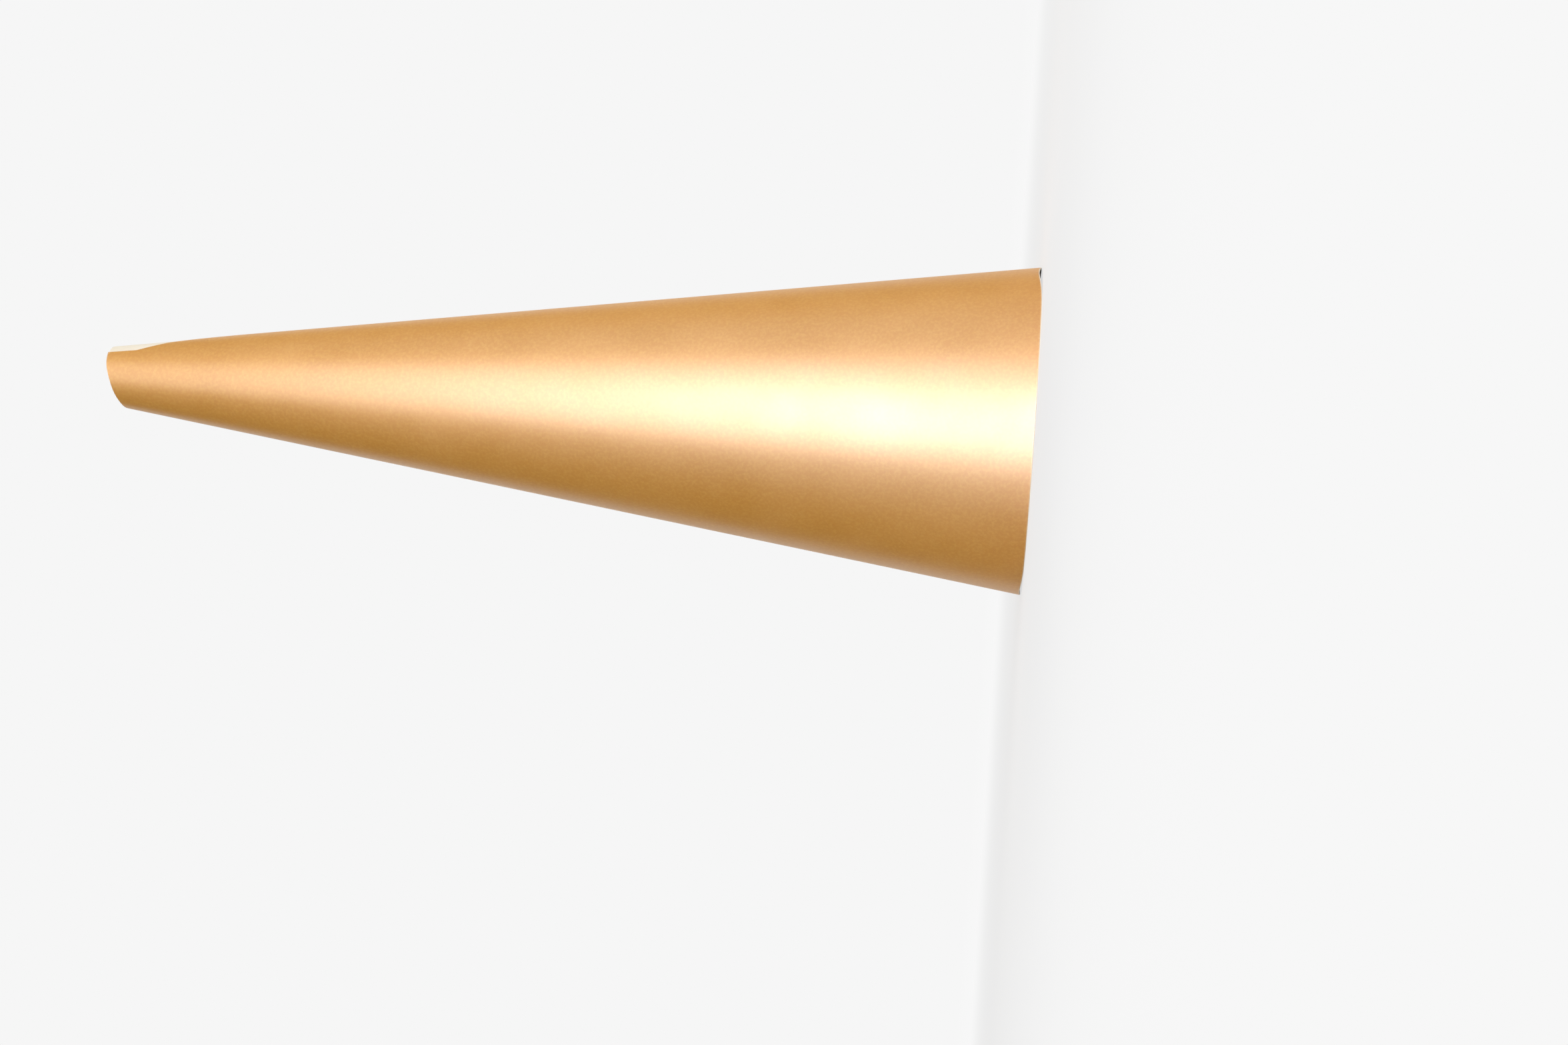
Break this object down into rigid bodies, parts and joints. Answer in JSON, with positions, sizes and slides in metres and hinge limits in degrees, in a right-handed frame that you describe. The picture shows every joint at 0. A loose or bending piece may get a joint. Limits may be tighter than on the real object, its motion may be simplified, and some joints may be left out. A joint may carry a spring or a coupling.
{
  "type": "cheer megaphone",
  "caption": "Straight cone of gold-faced card, rolled and lapped, open at the narrow mouth and the wide bell, that carries a voice forward.",
  "frame": {"origin": "centre of the bell's rim, on the surface that the cone stands on", "axes": "+Z up along the cone's axis from the bell to the mouth; -Y is the side that faces the viewer in the picture, and +X is up in the picture"},
  "size_m": [0.1767, 0.1765, 0.5125],
  "materials": {
    "white_card": "matte",
    "gold_paper": "satin",
    "clear_tape": "satin"
  },
  "bodies": {
    "root": {"card_sheet": "white_card", "gold_face": "gold_paper", "lap_tape_mouth": "clear_tape", "lap_tape_upper": "clear_tape", "lap_tape_lower": "clear_tape", "lap_tape_bell": "clear_tape"}
  },
  "joints": []
}
